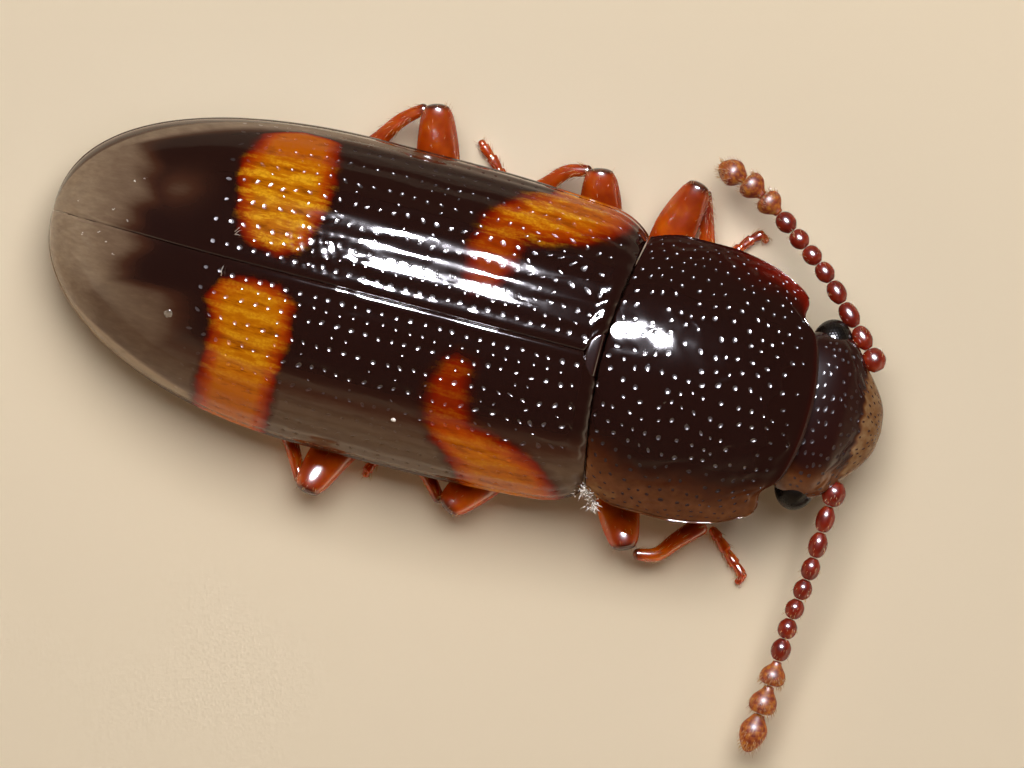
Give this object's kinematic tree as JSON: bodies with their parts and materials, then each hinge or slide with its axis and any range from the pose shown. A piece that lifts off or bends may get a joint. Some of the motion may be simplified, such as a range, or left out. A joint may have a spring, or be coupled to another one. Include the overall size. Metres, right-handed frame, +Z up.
{
  "type": "banded fungus beetle specimen",
  "caption": "Small glossy black beetle specimen with two amber bands across its punctured wing cases, red-brown legs and beaded clubbed antennae, crouched on its belly and feet.",
  "frame": {"origin": "centre of the flat belly face under the hind thorax, on the surface the beetle rests on", "axes": "+X to the head, +Y to the beetle's left side, +Z up"},
  "size_m": [0.0055, 0.0037, 0.0013],
  "materials": {
    "cuticle": "gloss",
    "wing_case": "gloss",
    "leg": "gloss",
    "feeler": "gloss",
    "eye": "gloss",
    "mouthpart": "gloss"
  },
  "bodies": {
    "root": {"head": "cuticle", "prothorax": "cuticle", "scutellum": "cuticle", "metathorax": "cuticle", "abdomen": "cuticle", "labrum": "mouthpart", "elytron_left": "wing_case", "eye_left": "eye", "mandible_left": "mouthpart", "palp_left": "mouthpart", "antenna_left_scape": "feeler", "antenna_left_pedicel": "feeler", "antenna_left_bead_3": "feeler", "antenna_left_bead_4": "feeler", "antenna_left_bead_5": "feeler", "antenna_left_bead_6": "feeler", "antenna_left_bead_7": "feeler", "antenna_left_bead_8": "feeler", "antenna_left_club_9": "feeler", "antenna_left_club_10": "feeler", "antenna_left_club_11": "feeler", "elytron_right": "wing_case", "eye_right": "eye", "mandible_right": "mouthpart", "palp_right": "mouthpart", "antenna_right_scape": "feeler", "antenna_right_pedicel": "feeler", "antenna_right_bead_3": "feeler", "antenna_right_bead_4": "feeler", "antenna_right_bead_5": "feeler", "antenna_right_bead_6": "feeler", "antenna_right_bead_7": "feeler", "antenna_right_bead_8": "feeler", "antenna_right_club_9": "feeler", "antenna_right_club_10": "feeler", "antenna_right_club_11": "feeler", "coxa_front_left": "leg", "femur_front_left": "leg", "tibia_front_left": "leg", "tarsus_front_left": "leg", "coxa_front_right": "leg", "femur_front_right": "leg", "tibia_front_right": "leg", "tarsus_front_right": "leg", "coxa_middle_left": "leg", "femur_middle_left": "leg", "tibia_middle_left": "leg", "tarsus_middle_left": "leg", "coxa_middle_right": "leg", "femur_middle_right": "leg", "tibia_middle_right": "leg", "tarsus_middle_right": "leg", "coxa_hind_left": "leg", "femur_hind_left": "leg", "tibia_hind_left": "leg", "tarsus_hind_left": "leg", "coxa_hind_right": "leg", "femur_hind_right": "leg", "tibia_hind_right": "leg", "tarsus_hind_right": "leg"}
  },
  "joints": []
}
